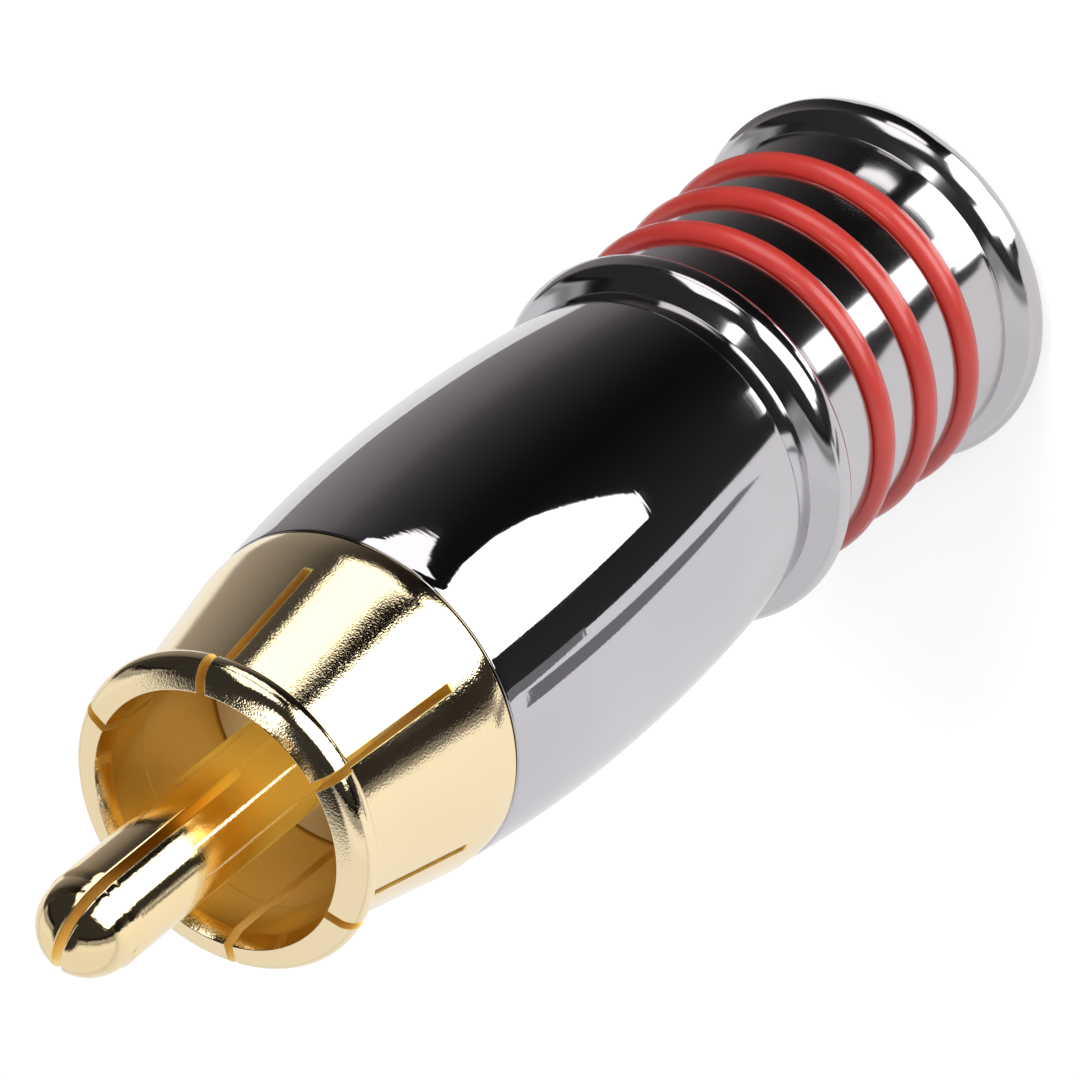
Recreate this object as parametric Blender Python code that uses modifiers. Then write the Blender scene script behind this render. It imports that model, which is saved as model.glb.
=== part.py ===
"""RCA plug with a screw-on metal barrel, modelled in metres.

It stands on its cable-entry end. +Z runs along its axis to the pin, and the origin is at the
middle of the rear face. Sizes below are millimetres.
"""

import math

import bmesh
import bpy

MM = 0.001
AROUND = 48

# clearances between pieces that seat, press or turn on each other
SEAT_GAP = 0.05
RUNNING_GAP = 0.05

# barrel, outside, from its cable end to its front end
FLANGE_WIDTH = 1.60
FLANGE_PROUD = 0.69
TUBE_LENGTH = 9.65
TUBE_DROP = 0.15
BEAD_WIDTH = 1.50
BEAD_PROUD = 0.685
NECK_LENGTH = 0.95
NECK_DROP = 0.09
NECK_STEP = 0.15
SHELL_LENGTH = 15.50
SHELL_SWELL = 0.49
SHELL_SWELL_FROM_FRONT = 7.15
FRONT_WALL = 0.95
FRONT_EDGE = 0.06

# barrel, inside
CABLE_BORE_RADIUS = 3.40
CABLE_BORE_ROUNDING = 0.40
CABLE_BORE_LENGTH = 3.00
REAR_WALL = 0.72
BORE_LEAD = 0.22

# colour-coding O-rings and their grooves, centred on the tube
RING_COUNT = 3
RING_PITCH = 2.45
RING_THICKNESS = 1.00
GROOVE_DEPTH = 0.57

# collar that grips the jack's sleeve
COLLAR_LENGTH = 7.22
COLLAR_RIM_STEP = 0.03
COLLAR_RIM_LENGTH = 0.16
MOUTH_RADIUS = 4.05
LIP_WALL = 1.13
LIP_THICKNESS = 1.16
MOUTH_LAND = 2.15
CUP_RELIEF = 0.08
COLLAR_WEB = 1.52
SLIT_COUNT = 6
SLIT_WIDTH = 0.30
SLIT_STOP = 0.17

# threaded shank behind the collar, drawn at its crests, and its swaged tail
THREAD_CHAMFER = 0.30
SHANK_LENGTH = 5.55
RELIEF_LENGTH = 0.70
RELIEF_DEPTH = 0.42
TAIL_WALL = 0.40
TAIL_LIP = 0.28
TAIL_LIP_LENGTH = 0.35

# insulators
INSULATOR_WALL = 1.00
DISC_THICKNESS = 1.30
SPIGOT_LENGTH = 1.87
BUSH_LENGTH = 2.80

# centre pin
PIN_RADIUS = 1.60
PIN_REACH = 7.83
NOSE_LENGTH = 1.62
NOSE_SHOULDER = 0.05
PIN_SLIT_WIDTH = 0.30
PIN_SLIT_LENGTH = 8.43
PIN_SLIT_TURN = 98.8
PIN_FLANGE_PROUD = 0.45
PIN_FLANGE_LENGTH = 0.65
PIN_TAIL_STEP = 0.35
PIN_TAIL_REACH = 4.40
SOLDER_WALL = 0.40
SOLDER_BORE_DEPTH = 3.40
SOLDER_WINDOW = 2.20
SOLDER_WINDOW_INSET = 0.10

# stamped earth lug with its cable clamp, and the insulating sleeve round it
SHEET = 0.50
LUG_ARM_WIDTH = 2.20
LUG_ARM_GAP = 0.22
LUG_ARM_SINK = 0.04
LUG_ARM_LENGTH = 9.20
LUG_HOLE_RADIUS = 0.55
LUG_HOLE_DROP = 3.60
CLAMP_WIDTH = 3.20
CLAMP_EAR_REACH = 1.30
SLEEVE_WALL = 0.45
SLEEVE_LUG_GAP = 0.20

# heights above the rear face that follow from the lengths
FLANGE_TOP = FLANGE_WIDTH
BEAD_BOTTOM = FLANGE_TOP + TUBE_LENGTH
BEAD_TOP = BEAD_BOTTOM + BEAD_WIDTH
CREASE = BEAD_TOP + NECK_LENGTH
BARREL_TOP = CREASE + SHELL_LENGTH
COLLAR_BOTTOM = BARREL_TOP + SEAT_GAP
COLLAR_TOP = COLLAR_BOTTOM + COLLAR_LENGTH
CUP_DEPTH = COLLAR_LENGTH - COLLAR_WEB
CUP_FLOOR = COLLAR_TOP - CUP_DEPTH
SLIT_LENGTH = CUP_DEPTH - SLIT_STOP
DISC_SEAT = CUP_FLOOR - DISC_THICKNESS - SEAT_GAP
SHANK_END = COLLAR_BOTTOM - SHANK_LENGTH
LUG_TOP = SHANK_END - SEAT_GAP
LUG_BOTTOM = LUG_TOP - SHEET
TAIL_LIP_TOP = LUG_BOTTOM - SEAT_GAP
TAIL_END = TAIL_LIP_TOP - TAIL_LIP_LENGTH
SPIGOT_END = CUP_FLOOR - DISC_THICKNESS - SPIGOT_LENGTH
PIN_FLANGE_TOP = SPIGOT_END - SEAT_GAP
PIN_FLANGE_BOTTOM = PIN_FLANGE_TOP - PIN_FLANGE_LENGTH
BUSH_TOP = PIN_FLANGE_BOTTOM - SEAT_GAP
BUSH_END = BUSH_TOP - BUSH_LENGTH
PIN_TIP = COLLAR_TOP + PIN_REACH
PIN_END = BUSH_END - PIN_TAIL_REACH

# radii of the insert, its sleeve and the barrel, from the pin outwards
PIN_TAIL_RADIUS = PIN_RADIUS - PIN_TAIL_STEP
SOLDER_BORE_RADIUS = PIN_TAIL_RADIUS - SOLDER_WALL
SHANK_BORE_RADIUS = PIN_RADIUS + INSULATOR_WALL
TAIL_RADIUS = SHANK_BORE_RADIUS + TAIL_WALL
CLAMP_RADIUS = TAIL_RADIUS + TAIL_LIP + LUG_ARM_GAP + SHEET
SLEEVE_INNER_RADIUS = CLAMP_RADIUS + SLEEVE_LUG_GAP
SLEEVE_RADIUS = SLEEVE_INNER_RADIUS + SLEEVE_WALL
BORE_RADIUS = SLEEVE_RADIUS + 2 * SEAT_GAP
THREAD_RADIUS = BORE_RADIUS - RUNNING_GAP
FRONT_RADIUS = BORE_RADIUS + FRONT_WALL
TUBE_RADIUS = FRONT_RADIUS - TUBE_DROP
NECK_RADIUS = TUBE_RADIUS - NECK_DROP
GROOVE_RADIUS = TUBE_RADIUS - GROOVE_DEPTH
RING_RADIUS = GROOVE_RADIUS + SEAT_GAP + RING_THICKNESS / 2
REAR_CAVITY_RADIUS = GROOVE_RADIUS - REAR_WALL

# radii of the collar, from its mouth outwards
CUP_RADIUS = MOUTH_RADIUS + CUP_RELIEF
LIP_RADIUS = MOUTH_RADIUS + LIP_WALL


def arc(r, z, across, along, start, end, steps):
    """Points of an elliptical arc about (r, z), angles in degrees from outward towards +Z."""
    points = []
    for i in range(steps + 1):
        angle = math.radians(start + (end - start) * i / steps)
        points.append((r + across * math.cos(angle), z + along * math.sin(angle)))
    return points


def swollen_shell(steps):
    """The barrel's gentle swell, from its front edge down to the crease above the bead."""
    widest = FRONT_RADIUS + SHELL_SWELL
    middle = BARREL_TOP - SHELL_SWELL_FROM_FRONT
    top = BARREL_TOP - FRONT_EDGE
    crease_radius = NECK_RADIUS + NECK_STEP
    points = []
    for i in range(steps + 1):
        z = top + (CREASE - top) * i / steps
        end_z, end_r = (BARREL_TOP, FRONT_RADIUS) if z > middle else (CREASE, crease_radius)
        share = (z - middle) / (end_z - middle)
        points.append((widest - (widest - end_r) * share**2, z))
    return points


def half_round(bottom, width, base, proud, below, above, steps):
    """A rounded bead from its upper side down, ending on the two radii beside it."""
    half = width / 2
    centre = base + proud - half
    up = math.degrees(math.acos(max(-1.0, min(1.0, (above - centre) / half))))
    down = math.degrees(math.acos(max(-1.0, min(1.0, (below - centre) / half))))
    return arc(centre, bottom + half, half, half, up, -down, steps)


def object_from(name, mesh, material, collection):
    obj = bpy.data.objects.new(name, mesh)
    mesh.materials.append(material)
    collection.objects.link(obj)
    return obj


def turned(name, profile, material, collection, closed=True, around=AROUND):
    """Turns a profile of (radius, height) points about Z."""
    mesh = bpy.data.meshes.new(name)
    edges = [(i, i + 1) for i in range(len(profile) - 1)]
    if closed:
        edges.append((len(profile) - 1, 0))
    mesh.from_pydata([(r * MM, 0.0, z * MM) for r, z in profile], edges, [])
    obj = object_from(name, mesh, material, collection)
    screw = obj.modifiers.new("Turn", "SCREW")
    screw.axis = "Z"
    screw.steps = around
    screw.render_steps = around
    screw.use_merge_vertices = True
    screw.merge_threshold = 0.000001
    return obj


def block(name, size, centre, turn, collection, material):
    """A box of the given size, turned about Z by degrees, then moved to its centre."""
    bm = bmesh.new()
    bmesh.ops.create_cube(bm, size=1.0)
    bmesh.ops.scale(bm, vec=[side * MM for side in size], verts=bm.verts)
    mesh = bpy.data.meshes.new(name)
    bm.to_mesh(mesh)
    bm.free()
    obj = object_from(name, mesh, material, collection)
    obj.location = [value * MM for value in centre]
    obj.rotation_euler = (0.0, 0.0, math.radians(turn))
    return obj


def combine(obj, tool, operation):
    modifier = obj.modifiers.new(tool.name, "BOOLEAN")
    modifier.operation = operation
    modifier.solver = "EXACT"
    modifier.object = tool


def as_tool(obj):
    obj.hide_render = True
    obj.display_type = "WIRE"
    return obj


def finish(obj, parent):
    """Applies the modifiers, shades the turned faces smooth and parents the piece."""
    graph = bpy.context.evaluated_depsgraph_get()
    mesh = bpy.data.meshes.new_from_object(obj.evaluated_get(graph))
    mesh.name = obj.name
    obj.modifiers.clear()
    obj.data = mesh
    mesh.shade_smooth()
    mesh.set_sharp_from_angle(angle=math.radians(28))
    obj.parent = parent


def axis_empty(name, parent, collection):
    """An empty on the plug's axis, which the pieces of one moving group hang from."""
    obj = bpy.data.objects.new(name, None)
    obj.empty_display_size = COLLAR_LENGTH * MM
    obj.parent = parent
    collection.objects.link(obj)
    return obj


def surface(name, colour, roughness, metallic=1.0):
    material = bpy.data.materials.new(name)
    material.use_nodes = True
    shader = material.node_tree.nodes["Principled BSDF"]
    shader.inputs["Base Color"].default_value = (*colour, 1.0)
    shader.inputs["Roughness"].default_value = roughness
    shader.inputs["Metallic"].default_value = metallic
    material.diffuse_color = (*colour, 1.0)
    return material


for old in list(bpy.data.objects):
    bpy.data.objects.remove(old, do_unlink=True)

plug = bpy.data.collections.new("rca_plug")
cutters = bpy.data.collections.new("cutters")
bpy.context.scene.collection.children.link(plug)
bpy.context.scene.collection.children.link(cutters)

DARK_CHROME = surface("dark_chrome", (0.16, 0.15, 0.16), 0.06)
RED_RUBBER = surface("red_rubber", (0.55, 0.03, 0.02), 0.38, 0.0)
GOLD = surface("gold_plate", (0.90, 0.72, 0.38), 0.12)
PIN_GOLD = surface("pin_gold_plate", (0.90, 0.70, 0.34), 0.14)
TINNED = surface("tinned_brass", (0.72, 0.68, 0.58), 0.28)
IVORY = surface("ivory_plastic", (0.80, 0.77, 0.68), 0.45, 0.0)
BUSH_IVORY = surface("bush_plastic", (0.78, 0.75, 0.66), 0.45, 0.0)
SLEEVE_PLASTIC = surface("sleeve_plastic", (0.62, 0.63, 0.62), 0.40, 0.0)
TOOL = surface("tool", (1.0, 0.3, 0.1), 0.5, 0.0)

barrel_frame = axis_empty("barrel_frame", None, plug)
travel_frame = axis_empty("travel_frame", barrel_frame, plug)
turn_frame = axis_empty("turn_frame", travel_frame, plug)

# the grooves are centred on the tube
groove_half = RING_THICKNESS / 2 + SEAT_GAP
tube_middle = FLANGE_TOP + TUBE_LENGTH / 2
ring_heights = []
for i in range(RING_COUNT):
    ring_heights.append(tube_middle + (i - (RING_COUNT - 1) / 2) * RING_PITCH)

# barrel: one turned and bored shell with a swollen front, a shoulder bead and a rear flange
outline = [(FRONT_RADIUS - FRONT_EDGE, BARREL_TOP)]
outline += swollen_shell(15)
outline += [(NECK_RADIUS, CREASE - NECK_STEP)]
outline += half_round(BEAD_BOTTOM, BEAD_WIDTH, TUBE_RADIUS, BEAD_PROUD, TUBE_RADIUS, NECK_RADIUS, 8)
for height in reversed(ring_heights):
    outline += [(TUBE_RADIUS, height + groove_half), (GROOVE_RADIUS, height + groove_half)]
    outline += [(GROOVE_RADIUS, height - groove_half), (TUBE_RADIUS, height - groove_half)]
face_edge = TUBE_RADIUS + FLANGE_PROUD - FLANGE_WIDTH / 2
outline += half_round(0.0, FLANGE_WIDTH, TUBE_RADIUS, FLANGE_PROUD, face_edge, TUBE_RADIUS, 9)
outline += arc(CABLE_BORE_RADIUS + CABLE_BORE_ROUNDING, CABLE_BORE_ROUNDING,
               CABLE_BORE_ROUNDING, CABLE_BORE_ROUNDING, 270, 180, 2)
outline += [(CABLE_BORE_RADIUS, CABLE_BORE_LENGTH), (REAR_CAVITY_RADIUS, CABLE_BORE_LENGTH)]
outline += [(REAR_CAVITY_RADIUS, BEAD_TOP), (BORE_RADIUS, BEAD_TOP)]
outline += [(BORE_RADIUS, BARREL_TOP - BORE_LEAD), (BORE_RADIUS + BORE_LEAD, BARREL_TOP)]
barrel = turned("barrel", outline, DARK_CHROME, plug)
finish(barrel, barrel_frame)

# three red O-rings that tell the channel
ring_section = arc(RING_RADIUS, 0.0, RING_THICKNESS / 2, RING_THICKNESS / 2, 90, -270, 8)[:-1]
for label, height in zip(("rear", "middle", "front"), ring_heights):
    ring = turned("coding_ring_" + label, ring_section, RED_RUBBER, plug)
    ring.location.z = height * MM
    finish(ring, barrel_frame)

# shield contact: cupped collar with a rounded lip, six slits, threaded shank and swaged tail
lip_centre = LIP_RADIUS - LIP_THICKNESS / 2
lip_height = COLLAR_TOP - LIP_THICKNESS / 2
rim_radius = FRONT_RADIUS - COLLAR_RIM_STEP
outline = arc(lip_centre, lip_height, lip_centre - MOUTH_RADIUS, LIP_THICKNESS / 2, 180, 90, 4)
outline += arc(lip_centre, lip_height, LIP_THICKNESS / 2, LIP_THICKNESS / 2, 90, -90, 8)[1:]
outline += [(rim_radius, COLLAR_BOTTOM + COLLAR_RIM_LENGTH), (rim_radius, COLLAR_BOTTOM + FRONT_EDGE)]
outline += [(rim_radius - FRONT_EDGE, COLLAR_BOTTOM)]
relief_radius = THREAD_RADIUS - RELIEF_DEPTH
thread_top = COLLAR_BOTTOM - RELIEF_LENGTH
outline += [(relief_radius, COLLAR_BOTTOM), (relief_radius, thread_top)]
outline += [(THREAD_RADIUS, thread_top - RELIEF_DEPTH), (THREAD_RADIUS, SHANK_END + THREAD_CHAMFER)]
outline += [(THREAD_RADIUS - THREAD_CHAMFER, SHANK_END), (TAIL_RADIUS, SHANK_END)]
outline += [(TAIL_RADIUS, TAIL_LIP_TOP), (TAIL_RADIUS + TAIL_LIP, TAIL_LIP_TOP)]
outline += [(TAIL_RADIUS + TAIL_LIP, TAIL_LIP_TOP - TAIL_LIP_LENGTH / 2), (TAIL_RADIUS, TAIL_END)]
outline += [(SHANK_BORE_RADIUS, TAIL_END), (SHANK_BORE_RADIUS, DISC_SEAT)]
outline += [(CUP_RADIUS, DISC_SEAT), (CUP_RADIUS, COLLAR_TOP - MOUTH_LAND)]
outline += [(MOUTH_RADIUS, COLLAR_TOP - MOUTH_LAND + CUP_RELIEF)]
shield = turned("shield_contact", outline, GOLD, plug)
for i in range(SLIT_COUNT // 2):
    cut = block("collar_slit_%d" % i, (4 * LIP_RADIUS, SLIT_WIDTH, 2 * SLIT_LENGTH),
                (0.0, 0.0, COLLAR_TOP), i * 360 / SLIT_COUNT, cutters, TOOL)
    combine(shield, as_tool(cut), "DIFFERENCE")
finish(shield, turn_frame)

# centre pin: split domed nose, flange held between the insulators, solder cup
nose = arc(0.0, PIN_TIP - NOSE_LENGTH, PIN_RADIUS - NOSE_SHOULDER, NOSE_LENGTH, 90, 0, 7)
nose[0] = (0.0, PIN_TIP)
outline = nose + [(PIN_RADIUS, PIN_TIP - NOSE_LENGTH - 2 * NOSE_SHOULDER)]
outline += [(PIN_RADIUS, PIN_FLANGE_TOP), (PIN_RADIUS + PIN_FLANGE_PROUD, PIN_FLANGE_TOP)]
outline += [(PIN_RADIUS + PIN_FLANGE_PROUD, PIN_FLANGE_BOTTOM), (PIN_TAIL_RADIUS, PIN_FLANGE_BOTTOM)]
outline += [(PIN_TAIL_RADIUS, PIN_END), (SOLDER_BORE_RADIUS, PIN_END)]
outline += [(SOLDER_BORE_RADIUS, PIN_END + SOLDER_BORE_DEPTH)]
outline += [(0.0, PIN_END + SOLDER_BORE_DEPTH + SOLDER_BORE_RADIUS / 2)]
pin = turned("centre_pin", outline, PIN_GOLD, plug, closed=False, around=32)
cut = block("pin_slit", (4 * PIN_RADIUS, PIN_SLIT_WIDTH, 2 * PIN_SLIT_LENGTH),
            (0.0, 0.0, PIN_TIP), PIN_SLIT_TURN, cutters, TOOL)
combine(pin, as_tool(cut), "DIFFERENCE")
cut = block("solder_window", (2 * PIN_TAIL_RADIUS, 4 * PIN_TAIL_RADIUS, 2 * SOLDER_WINDOW),
            (-PIN_TAIL_RADIUS - SOLDER_WINDOW_INSET, 0.0, PIN_END), 0.0, cutters, TOOL)
combine(pin, as_tool(cut), "DIFFERENCE")
finish(pin, turn_frame)

# front insulator: the disc at the bottom of the cup, with a spigot into the shank
outline = [(PIN_RADIUS + SEAT_GAP, CUP_FLOOR), (CUP_RADIUS - SEAT_GAP, CUP_FLOOR)]
outline += [(CUP_RADIUS - SEAT_GAP, DISC_SEAT + SEAT_GAP)]
outline += [(SHANK_BORE_RADIUS - SEAT_GAP, DISC_SEAT + SEAT_GAP)]
outline += [(SHANK_BORE_RADIUS - SEAT_GAP, SPIGOT_END), (PIN_RADIUS + SEAT_GAP, SPIGOT_END)]
disc = turned("front_insulator", outline, IVORY, plug)
finish(disc, turn_frame)

# rear insulator: a bush pressed in behind the pin's flange
outline = [(PIN_TAIL_RADIUS + SEAT_GAP, BUSH_TOP), (SHANK_BORE_RADIUS - SEAT_GAP, BUSH_TOP)]
outline += [(SHANK_BORE_RADIUS - SEAT_GAP, BUSH_END), (PIN_TAIL_RADIUS + SEAT_GAP, BUSH_END)]
bush = turned("rear_insulator", outline, BUSH_IVORY, plug)
finish(bush, turn_frame)

# earth lug: one stamping, a ring swaged under the tail's lip, an arm and a cable clamp
outline = [(TAIL_RADIUS + SEAT_GAP, LUG_TOP), (CLAMP_RADIUS, LUG_TOP)]
outline += [(CLAMP_RADIUS, LUG_BOTTOM), (TAIL_RADIUS + SEAT_GAP, LUG_BOTTOM)]
lug = turned("earth_lug", outline, TINNED, plug)
clamp_bottom = LUG_BOTTOM - LUG_ARM_LENGTH
clamp_top = clamp_bottom + CLAMP_WIDTH
outline = [(CLAMP_RADIUS - SHEET, clamp_top), (CLAMP_RADIUS, clamp_top)]
outline += [(CLAMP_RADIUS, clamp_bottom), (CLAMP_RADIUS - SHEET, clamp_bottom)]
clamp = turned("clamp_band", outline, TOOL, cutters)
cut = block("clamp_gap", (2 * CLAMP_RADIUS, 4 * CLAMP_RADIUS, 2 * CLAMP_WIDTH),
            (-CLAMP_RADIUS - CLAMP_EAR_REACH, 0.0, (clamp_top + clamp_bottom) / 2), 0.0, cutters, TOOL)
combine(clamp, as_tool(cut), "DIFFERENCE")
combine(lug, as_tool(clamp), "UNION")
arm_top = LUG_TOP - SHEET / 5
arm_bottom = clamp_bottom + CLAMP_WIDTH / 3
arm = block("lug_arm", (SHEET, LUG_ARM_WIDTH, arm_top - arm_bottom),
            (CLAMP_RADIUS - LUG_ARM_SINK - SHEET / 2, 0.0, (arm_top + arm_bottom) / 2), 0.0, cutters, TOOL)
combine(lug, as_tool(arm), "UNION")
hole = turned("lug_hole", [(0.0, CLAMP_RADIUS + SHEET), (LUG_HOLE_RADIUS, CLAMP_RADIUS + SHEET),
                           (LUG_HOLE_RADIUS, CLAMP_RADIUS - 3 * SHEET), (0.0, CLAMP_RADIUS - 3 * SHEET)],
              TOOL, cutters, closed=False, around=16)
hole.rotation_euler = (0.0, math.radians(90), 0.0)
hole.location.z = (LUG_BOTTOM - LUG_HOLE_DROP) * MM
combine(lug, as_tool(hole), "DIFFERENCE")
finish(lug, turn_frame)

# insulating sleeve between the barrel's inner step and the shank
outline = [(SLEEVE_INNER_RADIUS, SHANK_END - SEAT_GAP), (SLEEVE_RADIUS, SHANK_END - SEAT_GAP)]
outline += [(SLEEVE_RADIUS, BEAD_TOP + SEAT_GAP), (SLEEVE_INNER_RADIUS, BEAD_TOP + SEAT_GAP)]
sleeve = turned("insulating_sleeve", outline, SLEEVE_PLASTIC, plug)
finish(sleeve, travel_frame)
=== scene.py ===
import math

import bmesh
import bpy
from mathutils import Matrix, Vector


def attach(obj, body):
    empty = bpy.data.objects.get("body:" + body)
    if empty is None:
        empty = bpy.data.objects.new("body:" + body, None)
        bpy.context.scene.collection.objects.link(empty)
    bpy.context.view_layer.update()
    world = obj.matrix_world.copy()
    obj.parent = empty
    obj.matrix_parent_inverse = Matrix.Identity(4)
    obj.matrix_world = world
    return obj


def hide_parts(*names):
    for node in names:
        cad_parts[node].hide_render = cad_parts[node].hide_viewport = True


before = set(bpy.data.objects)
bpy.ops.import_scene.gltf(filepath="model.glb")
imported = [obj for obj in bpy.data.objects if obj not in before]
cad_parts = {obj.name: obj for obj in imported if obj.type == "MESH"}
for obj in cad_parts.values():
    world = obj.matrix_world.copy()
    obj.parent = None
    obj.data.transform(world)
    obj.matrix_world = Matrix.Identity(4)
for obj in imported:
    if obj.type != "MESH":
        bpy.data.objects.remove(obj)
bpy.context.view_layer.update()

# ---------------------------------------------------------------- gold contacts
# Collar: the gold-plated brass shield contact. Six spring fingers with a rolled lip, sawn by three
# crossing slits, stand on a solid ring; its threaded shank screws into the barrel and its tail is
# swaged over the earth lug.
MM = 0.001
AROUND = 192


def shader_group(name, inputs, outputs):
    """An empty shader node group with its sockets, and its two end nodes."""
    group = bpy.data.node_groups.new(name, "ShaderNodeTree")
    for label, kind, value in inputs:
        socket = group.interface.new_socket(label, in_out="INPUT", socket_type="NodeSocket" + kind)
        if value is not None:
            socket.default_value = value
    for label, kind in outputs:
        group.interface.new_socket(label, in_out="OUTPUT", socket_type="NodeSocket" + kind)
    return group, group.nodes.new("NodeGroupInput"), group.nodes.new("NodeGroupOutput")


def noise(tree, vector, scale, detail, rough=0.5):
    """A noise texture, its scale in features to the metre."""
    node = tree.nodes.new("ShaderNodeTexNoise")
    node.inputs["Scale"].default_value = scale
    node.inputs["Detail"].default_value = detail
    node.inputs["Roughness"].default_value = rough
    tree.links.new(vector, node.inputs["Vector"])
    return node


def calculate(tree, operation, *values):
    """One Math node. Sockets are linked, and numbers are typed in."""
    node = tree.nodes.new("ShaderNodeMath")
    node.operation = operation
    for place, value in zip(node.inputs, values):
        if isinstance(value, bpy.types.NodeSocket):
            tree.links.new(value, place)
        else:
            place.default_value = value
    return node.outputs[0]


def spread(tree, value, low, high, to_low, to_high):
    """A value between low and high, spread over another range and held at its ends."""
    node = tree.nodes.new("ShaderNodeMapRange")
    for place, number in zip(node.inputs[1:5], (low, high, to_low, to_high)):
        place.default_value = number
    tree.links.new(value, node.inputs[0])
    return node.outputs[0]


def spread_mm(tree, distance, limits, to_low, to_high):
    """The same for a distance, with its limits in millimetres."""
    return spread(tree, distance, limits[0] * MM, limits[1] * MM, to_low, to_high)


def scaled(tree, vector, factors):
    """A vector, stretched along each axis."""
    node = tree.nodes.new("ShaderNodeMapping")
    node.vector_type = "POINT"
    node.inputs["Scale"].default_value = factors
    tree.links.new(vector, node.inputs["Vector"])
    return node.outputs[0]


# plating: a fine grain, the rings left by turning under it, and a faint unevenness of the shine
plating, given, made = shader_group(
    "plated_metal",
    [("Vector", "Vector", None), ("Grain", "Float", 1.0), ("Turning", "Float", 1.0)],
    [("Height", "Float"), ("Shine", "Float"), ("Tone", "Float")])
grain = noise(plating, given.outputs["Vector"], 15000.0, 1.0, 0.5)
rings = noise(plating, scaled(plating, given.outputs["Vector"], (900.0, 900.0, 9500.0)), 1.0, 2.0)
clouds = noise(plating, given.outputs["Vector"], 420.0, 3.0)
total = calculate(plating, "ADD",
                  calculate(plating, "MULTIPLY", grain.outputs[0], given.outputs["Grain"]),
                  calculate(plating, "MULTIPLY", rings.outputs[0], given.outputs["Turning"]))
plating.links.new(total, made.inputs["Height"])
plating.links.new(clouds.outputs[0], made.inputs["Shine"])
plating.links.new(noise(plating, given.outputs["Vector"], 130.0, 2.0).outputs[0], made.inputs["Tone"])


def finished(name, group, amounts, deep, pale, bump, shine):
    """A material with a finish: two close colours, its relief, and its range of roughness."""
    material = bpy.data.materials.new(name)
    material.use_nodes = True
    tree = material.node_tree
    shader = tree.nodes["Principled BSDF"]
    place = tree.nodes.new("ShaderNodeTexCoord")
    finish = tree.nodes.new("ShaderNodeGroup")
    finish.node_tree = group
    for label, amount in amounts.items():
        finish.inputs[label].default_value = amount
    tree.links.new(place.outputs["Object"], finish.inputs["Vector"])
    colour = tree.nodes.new("ShaderNodeMix")
    colour.data_type = "RGBA"
    colour.inputs["A"].default_value = (*deep, 1.0)
    colour.inputs["B"].default_value = (*pale, 1.0)
    tree.links.new(spread(tree, finish.outputs["Tone"], 0.35, 0.65, 0.0, 1.0), colour.inputs["Factor"])
    tree.links.new(colour.outputs["Result"], shader.inputs["Base Color"])
    tree.links.new(spread(tree, finish.outputs["Shine"], 0.3, 0.7, *shine), shader.inputs["Roughness"])
    relief = tree.nodes.new("ShaderNodeBump")
    relief.inputs["Strength"].default_value = 1.0
    relief.inputs["Distance"].default_value = bump * MM
    tree.links.new(finish.outputs["Height"], relief.inputs["Height"])
    tree.links.new(relief.outputs["Normal"], shader.inputs["Normal"])
    return material, tree, shader, place.outputs["Object"]


def plated(name, deep, pale, grain, turning, bump, shine, inner=None):
    """A plated metal, with its grain and turning marks. Where a mask of the piece is given, its inner
    faces get a duller shine and their own colour; on gold this is a deeper amber and a faint amber glow, painted light
    that stands in for the light gold throws on itself."""
    amounts = {"Grain": grain, "Turning": turning}
    material, tree, shader, vector = finished(name, plating, amounts, deep, pale, bump, shine)
    shader.inputs["Metallic"].default_value = 1.0
    if not inner:
        return material
    mask, inner_and_painted_bounce_colour, duller, painted_glow_share = inner(tree, vector)
    # on gold the masked faces turn a deeper amber: painted bounce light between gold faces
    blend = tree.nodes.new("ShaderNodeMix")
    blend.data_type = "RGBA"
    blend.inputs["B"].default_value = (*inner_and_painted_bounce_colour, 1.0)
    tree.links.new(mask, blend.inputs["Factor"])
    tree.links.new(shader.inputs["Base Color"].links[0].from_socket, blend.inputs["A"])
    tree.links.new(blend.outputs["Result"], shader.inputs["Base Color"])
    dullness = shader.inputs["Roughness"].links[0].from_socket
    tree.links.new(calculate(tree, "ADD", dullness, duller), shader.inputs["Roughness"])
    # painted light: a faint amber glow where no lamp is, for the light gold throws on itself
    if painted_glow_share:
        painted_glow_mix = tree.nodes.new("ShaderNodeMix")
        painted_glow_mix.data_type = "RGBA"
        painted_glow_mix.inputs["A"].default_value = (0.0, 0.0, 0.0, 1.0)
        painted_glow_mix.inputs["B"].default_value = (0.78, 0.52, 0.07, 1.0)
        tree.links.new(painted_glow_share, painted_glow_mix.inputs["Factor"])
        tree.links.new(painted_glow_mix.outputs["Result"], shader.inputs["Emission Color"])
        shader.inputs["Emission Strength"].default_value = 0.25
    return material


CUP_WALL = (4.16, 4.26)
CUP_RIM = (35.75, 36.05)
SAW_WALL = (0.155, 0.175)
SAW_FOOT = (30.8, 30.9)
# painted light: a deeper amber that stands in for light bounced from gold to gold
PAINTED_BOUNCE_GOLD = (0.96, 0.71, 0.25)


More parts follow.
